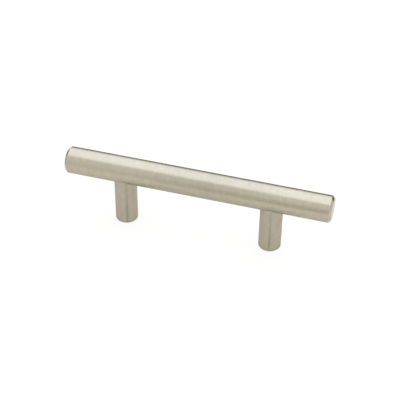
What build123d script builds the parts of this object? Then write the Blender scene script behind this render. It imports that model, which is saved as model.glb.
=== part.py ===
from build123d import *
from math import radians, tan
import os

os.makedirs("parts", exist_ok=True)

# T bar cabinet pull: a round bar with chamfered ends, carried by two round posts.
# The origin is on the mounting surface, midway between the posts.
# +X runs along the bar and +Z from the mounting surface to the bar. Sizes are in millimetres.

# Bar
bar_length = 137.0
bar_diameter = 13.7
bar_end_chamfer = 1.2
projection = 38.1  # from the mounting surface to the top of the bar

# Posts
hole_spacing = 76.2  # between the centres of the mounting holes, 3 inches
post_diameter = 11.5
foot_edge_break = 0.2
post_top_chamfer = 0.4

# Seats that the posts stand in, sunk into the underside of the bar
seat_depth = 3.6  # from the lowest line of the bar to the flat floor of the seat
seat_clearance = 0.05  # between the post and the wall of its seat

# Tapped holes for the mounting screws, in the feet. The thread is drawn as its tapping hole.
screw_hole_diameter = 3.454
screw_hole_depth = 12.0
screw_hole_countersink = 0.5

# Studs that join the posts to the bar. Their threads are drawn as plain cylinders.
stud_diameter = 5.0
stud_length = 12.0
stud_end_chamfer = 0.8
stud_clearance = 0.02  # between the stud and the wall of its hole
stud_end_room = 0.5  # free depth past each end of the stud
stud_hole_countersink = 0.3
metal_over_stud_hole = 2.0  # between the drill point and the top of the bar
hex_across_flats = 2.5
hex_depth = 3.0

drill_point_angle = 118.0


def drill_point_length(diameter):
    """The height of the cone that a drill leaves at the bottom of a blind hole."""
    return diameter / 2 / tan(radians(drill_point_angle / 2))


def drill_blind_hole(mouth, diameter, depth, countersink):
    """Cut a blind hole with a countersunk mouth. The mouth's plane faces out of the metal."""
    radius = diameter / 2
    with BuildSketch(Plane(mouth.origin, x_dir=mouth.x_dir, z_dir=-mouth.y_dir)) as half_section:
        with BuildLine():
            Polyline(
                (0, 0),
                (radius + countersink, 0),
                (radius, -countersink),
                (radius, -depth),
                (0, -depth - drill_point_length(diameter)),
                close=True,
            )
        make_face()
    revolve(half_section.sketch, axis=Axis(mouth.origin, mouth.z_dir), mode=Mode.SUBTRACT)


bar_axis_height = projection - bar_diameter / 2
seat_floor_height = projection - bar_diameter + seat_depth
post_height = seat_floor_height
post_places = {"left": -hole_spacing / 2, "right": hole_spacing / 2}

stud_hole_diameter = stud_diameter + 2 * stud_clearance
metal_over_seat = bar_diameter - seat_depth
bar_stud_hole_depth = metal_over_seat - metal_over_stud_hole - drill_point_length(stud_hole_diameter)
stud_length_in_post = stud_length - (bar_stud_hole_depth - stud_end_room)
post_stud_hole_depth = stud_length_in_post + stud_end_room


# Bar, with a seat and a tapped hole over each post
with BuildPart() as bar:
    with BuildSketch(Plane.YZ.offset(-bar_length / 2)):
        with Locations((0, bar_axis_height)):
            Circle(bar_diameter / 2)
    extrude(amount=bar_length)
    chamfer(bar.edges().filter_by(GeomType.CIRCLE), bar_end_chamfer)

    with BuildSketch(Plane.XY.offset(seat_floor_height)):
        with Locations([(x, 0) for x in post_places.values()]):
            Circle(post_diameter / 2 + seat_clearance)
    extrude(amount=-seat_depth, mode=Mode.SUBTRACT)

    for x in post_places.values():
        seat_floor = Plane((x, 0, seat_floor_height), x_dir=(1, 0, 0), z_dir=(0, 0, -1))
        drill_blind_hole(seat_floor, stud_hole_diameter, bar_stud_hole_depth, stud_hole_countersink)
bar.part.label = "bar"
export_step(bar.part, "parts/bar.step")


# Posts, turned from round rod and tapped at both ends
for side, x in post_places.items():
    with BuildPart() as post:
        with BuildSketch(Plane((x, 0, 0))):
            Circle(post_diameter / 2)
        extrude(amount=post_height)
        rims = post.edges().filter_by(GeomType.CIRCLE).sort_by(Axis.Z)
        chamfer(rims[0], foot_edge_break)
        chamfer(rims[-1], post_top_chamfer)

        foot = Plane((x, 0, 0), x_dir=(1, 0, 0), z_dir=(0, 0, -1))
        drill_blind_hole(foot, screw_hole_diameter, screw_hole_depth, screw_hole_countersink)
        top = Plane((x, 0, post_height), x_dir=(1, 0, 0), z_dir=(0, 0, 1))
        drill_blind_hole(top, stud_hole_diameter, post_stud_hole_depth, stud_hole_countersink)
    post.part.label = f"{side}_post"
    export_step(post.part, f"parts/{side}_post.step")


# Studs, headless set screws whose hex socket opens into the post
for side, x in post_places.items():
    with BuildPart() as stud:
        with BuildSketch(Plane((x, 0, post_height - stud_length_in_post))):
            Circle(stud_diameter / 2)
        extrude(amount=stud_length)
        chamfer(stud.edges().filter_by(GeomType.CIRCLE), stud_end_chamfer)

        with BuildSketch(stud.faces().sort_by(Axis.Z)[0]):
            RegularPolygon(hex_across_flats / 2, 6, major_radius=False)
        extrude(amount=-hex_depth, mode=Mode.SUBTRACT)
    stud.part.label = f"{side}_stud"
    export_step(stud.part, f"parts/{side}_stud.step")
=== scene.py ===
from math import atan2, ceil, cos, floor, hypot, pi, radians, sin, tan

import bmesh
import bpy
from mathutils import Matrix, Vector


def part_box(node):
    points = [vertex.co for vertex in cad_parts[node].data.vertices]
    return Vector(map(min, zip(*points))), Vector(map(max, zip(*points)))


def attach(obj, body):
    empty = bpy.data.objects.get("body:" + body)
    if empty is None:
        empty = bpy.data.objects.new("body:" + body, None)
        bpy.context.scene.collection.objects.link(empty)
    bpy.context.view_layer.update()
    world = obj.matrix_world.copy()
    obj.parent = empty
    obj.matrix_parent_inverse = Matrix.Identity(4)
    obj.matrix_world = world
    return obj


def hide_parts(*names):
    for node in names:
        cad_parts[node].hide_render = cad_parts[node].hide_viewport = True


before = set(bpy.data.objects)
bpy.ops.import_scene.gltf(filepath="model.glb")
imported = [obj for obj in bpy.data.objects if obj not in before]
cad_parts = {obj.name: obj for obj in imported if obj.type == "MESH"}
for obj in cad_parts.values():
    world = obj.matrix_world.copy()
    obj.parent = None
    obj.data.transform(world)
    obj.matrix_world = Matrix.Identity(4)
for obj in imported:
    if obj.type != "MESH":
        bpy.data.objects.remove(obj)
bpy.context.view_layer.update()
scene = bpy.context.scene
mm = 0.001

# Sizes of the pull, in metres, read from the frame
bar_low, bar_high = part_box("bar")
post_low, post_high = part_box("left_post")
stud_low, stud_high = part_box("left_stud")

bar_length = bar_high.x - bar_low.x
bar_radius = (bar_high.y - bar_low.y) / 2
bar_axis_height = bar_low.z + bar_radius
post_radius = (post_high.x - post_low.x) / 2
post_height = post_high.z
post_offset = -(post_low.x + post_high.x) / 2
post_places = {"left": -post_offset, "right": post_offset}
stud_radius = (stud_high.x - stud_low.x) / 2
stud_length = stud_high.z - stud_low.z
stud_bottom = stud_low.z

# Details of the bar and the posts
bar_end_chamfer = 1.2 * mm
seat_clearance = 0.05 * mm
foot_edge_break = 0.2 * mm
post_top_chamfer = 0.4 * mm
edge_rounding = 0.07 * mm
rounding_segments = 3
ring_spacing = 4.0 * mm
holding_distance = 0.12 * mm

# Tapped holes for the 8-32 mounting screws, in the feet
screw_thread_radius = 2.083 * mm
screw_drill_radius = 1.727 * mm
screw_pitch = 25.4 / 32 * mm
screw_hole_depth = 12.0 * mm
screw_thread_depth = 10.5 * mm
screw_countersink = 0.5 * mm

# M5 studs that join the posts to the bar, and the tapped holes that they fill
stud_pitch = 0.8 * mm
stud_core_radius = 2.0 * mm
stud_end_chamfer = 0.8 * mm
stud_clearance = 0.02 * mm
stud_end_room = 0.5 * mm
stud_countersink = 0.3 * mm
hex_half_width = 1.25 * mm
hex_depth = 3.0 * mm

drill_point_slope = 1 / tan(radians(59))

# How finely round forms are divided
bar_steps = 224
post_steps = 160
hole_steps = 64

# Tolerances of the shape work
merge_distance = 1e-7
trim_distance = 1e-8
same_plane = 1e-6
hard_edge_angle = radians(28)
least_facing = 0.3  # the cosine from which a face counts as turned rather than brushed

x_axis = Vector((1, 0, 0))
y_axis = Vector((0, 1, 0))
z_axis = Vector((0, 0, 1))


# Shapes

def merge_doubles(bm):
    bmesh.ops.remove_doubles(bm, verts=bm.verts[:], dist=merge_distance)


def spin_section(bm, corners, centre, axis, side, steps, rounded, rings=0):
    """Turn an open half section about an axis. A corner is (place along the axis, radius)."""
    verts = [bm.verts.new(centre + axis * along + side * radius) for along, radius in corners]
    for pair in zip(verts, verts[1:]):
        bm.edges.new(pair)
    bmesh.ops.bevel(
        bm,
        geom=[verts[i] for i in rounded],
        offset=edge_rounding,
        segments=rounding_segments,
        profile=0.5,
        affect="VERTICES",
        material=-1,
    )
    if rings:
        longest = max(bm.edges, key=lambda edge: edge.calc_length())
        bmesh.ops.subdivide_edges(bm, edges=[longest], cuts=rings)
    section = bm.verts[:] + bm.edges[:]
    bmesh.ops.spin(bm, geom=section, cent=centre, axis=axis, angle=2 * pi, steps=steps, use_merge=True)
    merge_doubles(bm)


def holding_ring(bm, point, normal):
    """Cut one more ring of points beside an edge, so that the long faces keep an even shine."""
    geometry = bm.verts[:] + bm.edges[:] + bm.faces[:]
    bmesh.ops.bisect_plane(bm, geom=geometry, dist=merge_distance, plane_co=point, plane_no=normal)


def open_edges(bm, centre, axis, place):
    """The open edges that lie in the plane at this place along the axis."""
    return [
        edge
        for edge in bm.edges
        if edge.is_boundary and all(abs((v.co - centre).dot(axis) - place) < same_plane for v in edge.verts)
    ]


def in_disc(verts, centre, radius):
    """Whether these points all lie in a level disc."""
    return all((v.co - centre).length < radius and abs(v.co.z - centre.z) < same_plane for v in verts)


def ring_onward(bm, edges, centre, axis, place, radius):
    """Extrude an open ring to a circle of this radius at this place along the axis."""
    made = bmesh.ops.extrude_edge_only(bm, edges=edges)["geom"]
    for vert in (g for g in made if isinstance(g, bmesh.types.BMVert)):
        across = vert.co - centre
        across -= axis * across.dot(axis)
        vert.co = centre + axis * place + across.normalized() * radius
    return [g for g in made if isinstance(g, bmesh.types.BMEdge)]


def ring_to_point(bm, edges, point):
    """Close an open ring with a cone that ends in a point."""
    made = bmesh.ops.extrude_edge_only(bm, edges=edges)["geom"]
    tip = [g for g in made if isinstance(g, bmesh.types.BMVert)]
    bmesh.ops.pointmerge(bm, verts=tip, merge_co=point)


def thread_surface(bm, centre, axis, side, from_place, to_place, pitch, outer, inner, turned):
    """Wind one thread round the axis, then trim it square at both ends. Returns the end rings.

    A crest crosses the side at the centre, so that threads wound from one centre fit each other.
    turned(place, radius) gives the radius that is left where an end is countersunk or chamfered.
    """
    crest_width, root_width = pitch / 8, pitch / 4
    flank = (pitch - crest_width - root_width) / 2
    section = (
        (0, inner),
        (root_width, inner),
        (root_width + flank, outer),
        (pitch - flank, outer),
        (pitch, inner),
    )
    start = (floor(from_place / pitch) - 1) * pitch - (pitch + root_width) / 2
    turns = ceil((to_place - start) / pitch)
    own = bmesh.new()
    verts = [own.verts.new(centre + axis * (start + along) + side * radius) for along, radius in section]
    for pair in zip(verts, verts[1:]):
        own.edges.new(pair)
    bmesh.ops.spin(
        own,
        geom=own.verts[:] + own.edges[:],
        cent=centre,
        axis=axis,
        dvec=axis * (pitch / hole_steps),
        angle=2 * pi * turns,
        steps=hole_steps * turns,
    )
    merge_doubles(own)
    for place, outwards in ((from_place, -axis), (to_place, axis)):
        bmesh.ops.bisect_plane(
            own,
            geom=own.verts[:] + own.edges[:] + own.faces[:],
            dist=trim_distance,
            plane_co=centre + axis * place,
            plane_no=outwards,
            clear_outer=True,
        )
    merge_doubles(own)
    for vert in own.verts:
        place = (vert.co - centre).dot(axis)
        across = vert.co - centre - axis * place
        vert.co = centre + axis * place + across.normalized() * turned(place, across.length)
    made = bpy.data.meshes.new("thread")
    own.to_mesh(made)
    own.free()
    others = set(bm.edges)
    bm.from_mesh(made)
    bpy.data.meshes.remove(made)
    ends = [open_edges(bm, centre, axis, place) for place in (from_place, to_place)]
    return [[edge for edge in end if edge not in others] for end in ends]


def fill_face(bm, edges, normal):
    bmesh.ops.triangle_fill(bm, edges=edges, use_beauty=True, normal=normal)


def tapped_hole(bm, centre, axis, side, depth, thread_end, pitch, outer, inner, mouth_radius):
    """A blind tapped hole that runs into the metal along the axis. Returns its countersunk mouth ring."""
    def countersunk(place, radius):
        return max(radius, mouth_radius - place)

    mouth, bottom = thread_surface(
        bm, centre, axis, side, 0, thread_end, pitch, outer, inner, countersunk
    )
    run_out = pitch / 4
    bottom = ring_onward(bm, bottom, centre, axis, thread_end + run_out, inner)
    bottom = ring_onward(bm, bottom, centre, axis, depth, inner)
    ring_to_point(bm, bottom, centre + axis * (depth + inner * drill_point_slope))
    return mouth


def finish_shape(bm, centre, axis, map_start):
    """Close up a turned piece: point its faces outwards, mark hard edges and unwrap it.

    The map's U runs along the turned section in mm and its V, in turns, runs round the axis.
    """
    merge_doubles(bm)
    bmesh.ops.recalc_face_normals(bm, faces=bm.faces[:])
    side = Vector((axis.y, axis.z, axis.x))
    other = axis.cross(side)
    unwrap = bm.loops.layers.uv.new("turning")
    faced = bm.faces.layers.float.new("faced")
    for edge in bm.edges:
        edge.smooth = edge.is_manifold and edge.calc_face_angle() < hard_edge_angle
    for face in bm.faces:
        face.smooth = True
        face[faced] = float(abs(face.normal.dot(axis)) > least_facing)
        middle = face.calc_center_median() - centre
        middle_turn = atan2(middle.dot(other), middle.dot(side)) / (2 * pi)
        for loop in face.loops:
            place = loop.vert.co - centre
            radius = hypot(place.dot(side), place.dot(other))
            turn = middle_turn
            if radius > same_plane:
                turn = atan2(place.dot(other), place.dot(side)) / (2 * pi)
            turn += round(middle_turn - turn)
            loop[unwrap].uv = (map_start + (place.dot(axis) + radius / 2) / mm, turn)


def new_object(name, bm):
    mesh = bpy.data.meshes.new(name)
    bm.to_mesh(mesh)
    bm.free()
    piece = bpy.data.objects.new(name, mesh)
    scene.collection.objects.link(piece)
    return piece


def cut_away(bm, name, cutter_bm):
    """Take one closed shape away from another."""
    block = new_object(name + "_block", bm)
    cutter = new_object(name + "_cutter", cutter_bm)
    cut = block.modifiers.new("cut", "BOOLEAN")
    cut.operation = "DIFFERENCE"
    cut.solver = "EXACT"
    cut.object = cutter
    depsgraph = bpy.context.evaluated_depsgraph_get()
    cut_mesh = bpy.data.meshes.new_from_object(block.evaluated_get(depsgraph))
    result = bmesh.new()
    result.from_mesh(cut_mesh)
    for used in (block, cutter):
        bpy.data.objects.remove(used)
    bpy.data.meshes.remove(cut_mesh)
    return result


# Pieces

def make_bar():
    centre = Vector((0, 0, bar_axis_height))
    half, face_radius = bar_length / 2, bar_radius - bar_end_chamfer
    corners = (
        (-half, 0),
        (-half, face_radius),
        (-half + bar_end_chamfer, bar_radius),
        (half - bar_end_chamfer, bar_radius),
        (half, face_radius),
        (half, 0),
    )
    bm = bmesh.new()
    rings = round(bar_length / ring_spacing)
    spin_section(bm, corners, centre, x_axis, y_axis, bar_steps, (1, 2, 3, 4), rings)
    bmesh.ops.recalc_face_normals(bm, faces=bm.faces[:])
    shoulder = half - bar_end_chamfer - edge_rounding - holding_distance
    for place in (-shoulder, shoulder):
        holding_ring(bm, centre + x_axis * place, x_axis)

    seats = bmesh.new()
    seat_radius = post_radius + seat_clearance
    seat_height = post_height - (bar_axis_height - bar_radius) + seat_clearance
    for x in post_places.values():
        middle = Vector((x, 0, post_height - seat_height / 2))
        bmesh.ops.create_cone(
            seats,
            cap_ends=True,
            segments=post_steps,
            radius1=seat_radius,
            radius2=seat_radius,
            depth=seat_height,
            matrix=Matrix.Translation(middle),
        )
    bm = cut_away(bm, "bar", seats)

    hole_radius = stud_radius + stud_clearance
    stud_top = stud_bottom + stud_length
    search_radius = seat_radius + 0.1 * mm
    for x in post_places.values():
        seat_floor = Vector((x, 0, post_height))
        old = [face for face in bm.faces if in_disc(face.verts, seat_floor, search_radius)]
        bmesh.ops.delete(bm, geom=old, context="FACES_ONLY")
        rim = open_edges(bm, seat_floor, z_axis, 0)
        rim = [edge for edge in rim if in_disc(edge.verts, seat_floor, search_radius)]
        depth = stud_top + stud_end_room - post_height
        mouth = tapped_hole(
            bm, seat_floor, z_axis, x_axis, depth, depth - stud_pitch, stud_pitch,
            hole_radius, stud_core_radius + stud_clearance, hole_radius + stud_countersink,
        )
        fill_face(bm, rim + mouth, -z_axis)
    finish_shape(bm, centre, x_axis, map_start=0)
    return new_object("pull_bar", bm)


def make_post(side, x):
    foot = Vector((x, 0, 0))
    top = Vector((x, 0, post_height))
    screw_mouth = screw_drill_radius + screw_countersink
    stud_mouth = stud_radius + stud_clearance + stud_countersink
    face_margin = 0.5 * mm
    # The start also sets where the painted light wave of the nickel falls on the posts.
    map_start = 60  # mm, so that the streaks of the posts aren't those of the bar
    corners = (
        (0, screw_mouth + face_margin),
        (0, post_radius - foot_edge_break),
        (foot_edge_break, post_radius),
        (post_height - post_top_chamfer, post_radius),
        (post_height, post_radius - post_top_chamfer),
        (post_height, stud_mouth + face_margin),
    )
    bm = bmesh.new()
    spin_section(bm, corners, foot, z_axis, x_axis, post_steps, (1, 2, 3, 4))
    for place in (foot_edge_break + edge_rounding, post_height - post_top_chamfer - edge_rounding):
        step = holding_distance if place < post_height / 2 else -holding_distance
        holding_ring(bm, foot + z_axis * (place + step), z_axis)

    foot_rim = open_edges(bm, foot, z_axis, 0)
    top_rim = open_edges(bm, foot, z_axis, post_height)
    mouth = tapped_hole(
        bm, foot, z_axis, x_axis, screw_hole_depth, screw_thread_depth, screw_pitch,
        screw_thread_radius, screw_drill_radius, screw_mouth,
    )
    fill_face(bm, foot_rim + mouth, -z_axis)
    depth = post_height - stud_bottom + stud_end_room
    mouth = tapped_hole(
        bm, top, -z_axis, x_axis, depth, depth - stud_pitch, stud_pitch,
        stud_radius + stud_clearance, stud_core_radius + stud_clearance, stud_mouth,
    )
    fill_face(bm, top_rim + mouth, z_axis)
    finish_shape(bm, foot, z_axis, map_start)
    return new_object(f"{side}_post_turned", bm)


def make_stud(side, x):
    """A headless set screw. Its hex socket opens downwards, into the post."""
    centre = Vector((x, 0, post_height))
    low, high = stud_bottom - post_height, stud_bottom + stud_length - post_height
    end_radius = stud_radius - stud_end_chamfer

    def chamfered(place, radius):
        return min(radius, end_radius + min(place - low, high - place))

    bm = bmesh.new()
    bottom, top = thread_surface(
        bm, centre, z_axis, x_axis, low, high, stud_pitch, stud_radius, stud_core_radius, chamfered
    )
    fill_face(bm, top, z_axis)
    socket = bmesh.ops.create_circle(
        bm,
        cap_ends=False,
        segments=6,
        radius=hex_half_width / cos(pi / 6),
        matrix=Matrix.Translation(centre + z_axis * low),
    )
    hexagon = list({edge for vert in socket["verts"] for edge in vert.link_edges})
    walls = bmesh.ops.extrude_edge_only(bm, edges=hexagon)["geom"]
    socket_verts = [g for g in walls if isinstance(g, bmesh.types.BMVert)]
    socket_edges = [g for g in walls if isinstance(g, bmesh.types.BMEdge)]
    bmesh.ops.translate(bm, vec=z_axis * hex_depth, verts=socket_verts)
    fill_face(bm, socket_edges, -z_axis)
    fill_face(bm, bottom + hexagon, -z_axis)
    finish_shape(bm, centre, z_axis, map_start=0)
    return new_object(f"{side}_stud_threaded", bm)


# Materials

class Shader:
    """A short way to write the node tree of a material or of the world."""

    def __init__(self, owner):
        self.owner = owner
        owner.use_nodes = True
        self.tree = owner.node_tree
        self.tree.nodes.clear()

    def add(self, kind, inputs=(), **settings):
        node = self.tree.nodes.new(kind)
        for name, value in settings.items():
            setattr(node, name, value)
        for name, value in dict(inputs).items():
            if isinstance(value, bpy.types.NodeSocket):
                self.tree.links.new(value, node.inputs[name])
            else:
                node.inputs[name].default_value = value
        return node

    def math(self, operation, first, second=0.0):
        return self.add("ShaderNodeMath", {0: first, 1: second}, operation=operation).outputs[0]

    def noise(self, vector, scale=1.0, detail=2.0, roughness=0.5):
        inputs = {"Vector": vector, "Scale": scale, "Detail": detail, "Roughness": roughness}
        return self.add("ShaderNodeTexNoise", inputs).outputs["Fac"]

    def spread(self, noise, low, high):
        """Spread the usual values of a noise over this range."""
        inputs = {"Value": noise, "From Min": 0.3, "From Max": 0.7, "To Min": low, "To Max": high}
        return self.add("ShaderNodeMapRange", inputs).outputs[0]

    def white_to_the_eye(self, lit, white, seen_share):
        """Show this share of the white to the eye and through glass, and a small share to metal."""
        mirrored_share = 0.2
        path = self.add("ShaderNodeLightPath").outputs
        seen = self.math("MAXIMUM", path["Is Camera Ray"], path["Is Transmission Ray"])
        seen = self.math("MULTIPLY", seen, seen_share)
        mirrored = self.math("MULTIPLY", path["Is Glossy Ray"], mirrored_share)
        share = self.math("MAXIMUM", seen, mirrored)
        return self.add("ShaderNodeMixShader", {0: share, 1: lit, 2: white}).outputs[0]

    def output(self, surface, kind="ShaderNodeOutputMaterial"):
        self.add(kind, {"Surface": surface})
        return self.owner


def turning_map(shader):
    """The piece's own map: X is mm along the turned section and Y is turns round the axis."""
    uv = shader.add("ShaderNodeUVMap", uv_map="turning").outputs[0]
    return shader.add("ShaderNodeSeparateXYZ", {0: uv}).outputs


def turned_noise(shader, lines_per_mm, length, **kind):
    """A noise that is fine along the section and long round the axis."""
    place = turning_map(shader)
    angle = shader.math("MULTIPLY", place["Y"], 2 * pi)
    across, up = [shader.math("MULTIPLY", shader.math(f, angle), length) for f in ("COSINE", "SINE")]
    along = shader.math("MULTIPLY", place["X"], lines_per_mm)
    vector = shader.add("ShaderNodeCombineXYZ", {"X": along, "Y": across, "Z": up}).outputs[0]
    return shader.noise(vector, **kind)


def satin_nickel():
    """Nickel plate, brushed round the rod with a fine belt. Ends and chamfers are only turned."""
    nickel_tone = (0.547, 0.500, 0.388)
    hair_depth = 0.004 * mm
    # Painted light: the colour is scaled by a slow wave along the turned section, set up here and built
    # below.
    painted_light_start, painted_light_length = 40.0, 96.0  # mm
    painted_light_depth = 0.03
    shader = Shader(bpy.data.materials.new("satin_nickel"))
    faced = shader.add("ShaderNodeAttribute", attribute_name="faced").outputs["Fac"]
    brushed = shader.math("SUBTRACT", 1.0, faced)

    hair = turned_noise(shader, 6.0, 3.0, detail=3.0, roughness=0.6)
    streak = turned_noise(shader, 0.9, 2.4, detail=3.0, roughness=0.65)
    cloud = turned_noise(shader, 0.13, 1.0, detail=2.0)
    streak_tone = shader.spread(streak, 0.93, 1.07)
    cloud_tone = shader.spread(cloud, 0.97, 1.03)
    # Painted light: a slow cosine wave scales the colour by up to 3 %. The bar is lighter near x = -43 and
    # +53 mm and darker in its middle. The posts grow lighter towards their feet. This stands in for
    # reflections of the room.
    from_start = shader.math("ADD", turning_map(shader)["X"], painted_light_start)
    painted_light_wave = shader.math("COSINE", shader.math("MULTIPLY", from_start, 2 * pi / painted_light_length))
    painted_light_tone = shader.math("ADD", shader.math("MULTIPLY", painted_light_wave, painted_light_depth), 1.0)
    # The random streak and cloud tones and the painted light wave are multiplied into one scale for the
    # colour.
    streaks_and_painted_light = shader.math("MULTIPLY", shader.math("MULTIPLY", streak_tone, cloud_tone), painted_light_tone)
    colour = shader.add("ShaderNodeVectorMath", {0: nickel_tone, "Scale": streaks_and_painted_light}, operation="SCALE")

    belt_roughness = shader.math("MULTIPLY", shader.spread(streak, 0.32, 0.40), brushed)
    turned_roughness = shader.math("MULTIPLY", faced, 0.2)
    edge_tint = shader.math("ADD", shader.math("MULTIPLY", faced, 0.2), 0.8)
    stretch = shader.math("ADD", shader.math("MULTIPLY", brushed, 0.45), 0.2)
    bump = shader.add("ShaderNodeBump", {"Height": hair, "Strength": 0.6, "Distance": hair_depth})
    tangent = shader.add("ShaderNodeTangent", direction_type="UV_MAP", uv_map="turning")
    metal = shader.add(
        "ShaderNodeBsdfPrincipled",
        {
            "Base Color": colour.outputs[0],
            "Metallic": 1.0,
            "Roughness": shader.math("ADD", belt_roughness, turned_roughness),
            "Anisotropic": stretch,
            "Specular Tint": edge_tint,
            "Tangent": tangent.outputs[0],
            "Normal": bump.outputs[0],
        },
    )
    return shader.output(metal.outputs[0])


def zinc_plate():
    """Bright zinc plate on the studs, a little uneven in its gloss."""
    shader = Shader(bpy.data.materials.new("zinc_plate"))
    place = shader.add("ShaderNodeTexCoord").outputs["Object"]
    patches = shader.noise(place, scale=900.0, detail=3.0)
    metal = shader.add(
        "ShaderNodeBsdfPrincipled",
        {
            "Base Color": (0.60, 0.61, 0.62, 1),
            "Metallic": 1.0,
            "Roughness": shader.spread(patches, 0.24, 0.42),
        },
    )
    return shader.output(metal.outputs[0])


def plain(name, colour):
    """A matt colour without any shine, for the boards and cards."""
    shader = Shader(bpy.data.materials.new(name))
    inputs = {"Base Color": (*colour, 1), "Roughness": 0.9, "Specular IOR Level": 0.0}
    return shader.output(shader.add("ShaderNodeBsdfPrincipled", inputs).outputs[0])


# Studio

def flat_card(name, width, height, place, material):
    """A flat card for staging, drawn about the origin and then put in its place."""
    size = Matrix.Diagonal((width, height, 1, 1))
    bm = bmesh.new()
    bmesh.ops.create_grid(bm, x_segments=1, y_segments=1, size=0.5, matrix=place @ size)
    card = new_object(name, bm)
    card.data.materials.append(material)
    return card


def hide_but_in_reflections(card):
    """Leave a card to reflections alone, so that it neither shows nor shades anything."""
    card.visible_camera = False
    card.visible_diffuse = False
    card.visible_transmission = False
    card.visible_shadow = False


def lay_card(name, x, y, above_floor, width, depth, material):
    place = Matrix.Translation((x, y, above_floor))
    hide_but_in_reflections(flat_card(name, width, depth, place, material))


def stand_board(name, x, y, width, height, material, turn=0.0):
    upright = Matrix.Rotation(turn, 4, "Z") @ Matrix.Rotation(pi / 2, 4, "X")
    place = Matrix.Translation((x, y, height / 2)) @ upright
    hide_but_in_reflections(flat_card(name, width, height, place, material))


def make_floor():
    """A pale floor. A glow lifts it to white for the eye and leaves the pull a faint shadow."""
    size, level = 6.0, -0.02 * mm
    shader = Shader(bpy.data.materials.new("pale_floor"))
    paper = shader.add("ShaderNodeBsdfDiffuse", {"Color": (0.745, 0.72, 0.671, 1)}).outputs[0]
    glow = shader.add("ShaderNodeEmission", {"Color": (1, 1, 1, 1), "Strength": 1.08}).outputs[0]
    surface = shader.white_to_the_eye(paper, glow, 0.8)
    flat_card("floor", size, size, Matrix.Translation((0, 0, level)), shader.output(surface))


def make_back_board():
    """A dark board close behind the pull, which draws the dark line along the top of the bar."""
    x, y = -160 * mm, 100 * mm
    width, height = 520 * mm, 44.2 * mm
    stand_board("back_board", x, y, width, height, plain("dark_board", (0.11, 0.10, 0.07)))


def make_corner_board():
    """A grey board behind the pull's right end, which darkens the top of the chamfer there."""
    ahead, reach = radians(31), 140 * mm
    x, y = bar_length / 2 + reach * sin(ahead), reach * cos(ahead)
    width, height = 92 * mm, 68 * mm
    stand_board("corner_board", x, y, width, height, plain("corner_grey", (0.25, 0.215, 0.165)), -ahead)


def make_light_card():
    """A pale card on the floor left of the pull, which brightens the fronts of the left end and post."""
    x, y, above_floor = -85 * mm, -25 * mm, 0.03 * mm
    width, depth = 76 * mm, 70 * mm
    lay_card("light_card", x, y, above_floor, width, depth, plain("pale_card", (0.81, 0.785, 0.735)))


def make_side_patch():
    """A grey patch on the floor to the left, which shades the chamfer of the left end."""
    x, y, above_floor = -275 * mm, 30 * mm, 0.05 * mm
    width, depth = 300 * mm, 200 * mm
    lay_card("side_patch", x, y, above_floor, width, depth, plain("grey_patch", (0.5, 0.48, 0.44)))


def make_front_board():
    """A narrow light grey board before the pull, which dims the front of the bar towards its right."""
    x, y = 80 * mm, -200 * mm
    width, height = 240 * mm, 125 * mm
    stand_board("front_board", x, y, width, height, plain("grey_board", (0.64, 0.62, 0.56)))


def make_strips():
    """Grey strips on the floor, from the posts towards the camera, which draw the line down each post."""
    meeting_point = Vector((104 * mm, -455 * mm, 0))
    near, far, above_floor = 0.8 * mm, 28 * mm, 0.05 * mm
    left_angle = radians(8)
    looks = {"left": (radians(20), (0.56, 0.53, 0.50)), "right": (radians(8), (0.42, 0.395, 0.37))}
    for side, x in post_places.items():
        right_angle, grey = looks[side]
        foot = Vector((x, 0, 0))
        ahead = (meeting_point - foot).normalized()
        leftwards = ahead.cross(z_axis)
        bm = bmesh.new()
        bmesh.ops.create_grid(bm, x_segments=1, y_segments=1, size=0.5)
        for vert in bm.verts:
            reach = far if vert.co.y > 0 else near
            to_left = reach * tan(left_angle) if vert.co.x > 0 else -reach * tan(right_angle)
            on_ground = foot + ahead * (post_radius + reach) + leftwards * to_left
            vert.co = on_ground + z_axis * above_floor
        strip = new_object(f"{side}_strip", bm)
        strip.data.materials.append(plain(f"{side}_strip_grey", grey))
        hide_but_in_reflections(strip)


def make_softbox():
    """A large soft light above and behind the pull, a little cooler than the room. Sizes are in metres."""
    distance = 0.95
    lean, half_angle = radians(-26.3), radians(43.3)
    width, radiance = 2.6, 0.83
    depth = 2 * distance * tan(half_angle)
    lamp = bpy.data.lights.new("softbox", "AREA")
    lamp.shape = "RECTANGLE"
    lamp.size, lamp.size_y = width, depth
    lamp.energy = radiance * pi * width * depth
    lamp.color = (0.68, 0.78, 1.0)
    softbox = bpy.data.objects.new("softbox", lamp)
    centre = Vector((0, 0, bar_axis_height))
    softbox.matrix_world = (
        Matrix.Translation(centre) @ Matrix.Rotation(lean, 4, "X") @ Matrix.Translation((0, 0, distance))
    )
    scene.collection.objects.link(softbox)


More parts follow.
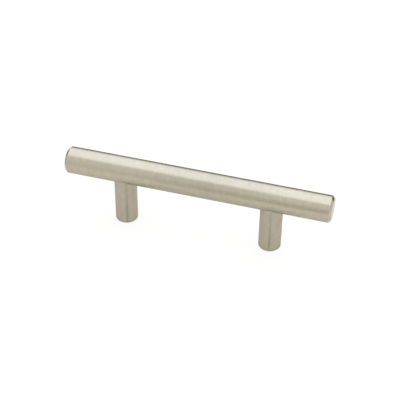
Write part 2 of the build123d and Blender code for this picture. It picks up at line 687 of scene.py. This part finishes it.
def make_world():
    """A pale room, slightly brighter towards the ceiling, and plain white to the eye."""
    shader = Shader(bpy.data.worlds.new("studio"))
    direction = shader.add("ShaderNodeTexCoord").outputs["Generated"]
    height = shader.add("ShaderNodeSeparateXYZ", {0: direction}).outputs["Z"]
    level = shader.add("ShaderNodeMapRange", {"Value": height, "To Min": 0.8, "To Max": 0.9}).outputs[0]
    room = shader.add("ShaderNodeBackground", {"Color": (1, 1, 1, 1), "Strength": level}).outputs[0]
    white = shader.add("ShaderNodeBackground", {"Color": (1, 1, 1, 1), "Strength": 1.0}).outputs[0]
    surface = shader.white_to_the_eye(room, white, 1.0)
    scene.world = shader.output(surface, "ShaderNodeOutputWorld")


def make_camera():
    """The photograph's camera. Angles are in degrees and the focal length in pixels of its width."""
    azimuth, elevation, roll = radians(15.213), radians(41.842), radians(0.689)
    distance, aim_right, aim_up = 616.83 * mm, 1.183 * mm, 3.526 * mm
    focal_length, picture_width, sensor_width = 1216.7, 400, 36.0
    back = Vector((sin(azimuth) * cos(elevation), -cos(azimuth) * cos(elevation), sin(elevation)))
    right = Vector((cos(azimuth), sin(azimuth), 0))
    up = back.cross(right)
    rolled_right = right * cos(roll) + up * sin(roll)
    rolled_up = up * cos(roll) - right * sin(roll)
    target = Vector((0, 0, bar_axis_height / 2)) + rolled_right * aim_right + rolled_up * aim_up
    lens = bpy.data.cameras.new("camera")
    lens.sensor_width = sensor_width
    lens.lens = focal_length / picture_width * sensor_width
    lens.clip_start, lens.clip_end = 0.01, 20
    camera = bpy.data.objects.new("camera", lens)
    turn = Matrix((rolled_right, rolled_up, back)).transposed().to_4x4()
    camera.matrix_world = Matrix.Translation(target + back * distance) @ turn
    scene.collection.objects.link(camera)
    scene.camera = camera


# The pull

nickel = satin_nickel()
zinc = zinc_plate()

bar = make_bar()
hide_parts("bar")
posts = {side: make_post(side, x) for side, x in post_places.items()}
for side, post in posts.items():
    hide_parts(f"{side}_post")
for piece in (bar, *posts.values()):
    piece.data.materials.append(nickel)
    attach(piece, "root")
for side, x in post_places.items():
    stud = make_stud(side, x)
    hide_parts(f"{side}_stud")
    stud.data.materials.append(zinc)
    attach(stud, "root")

# The studio

make_floor()
make_back_board()
make_corner_board()
make_light_card()
make_side_patch()
make_front_board()
make_strips()
make_softbox()
make_world()
make_camera()
scene.view_settings.view_transform = "Standard"
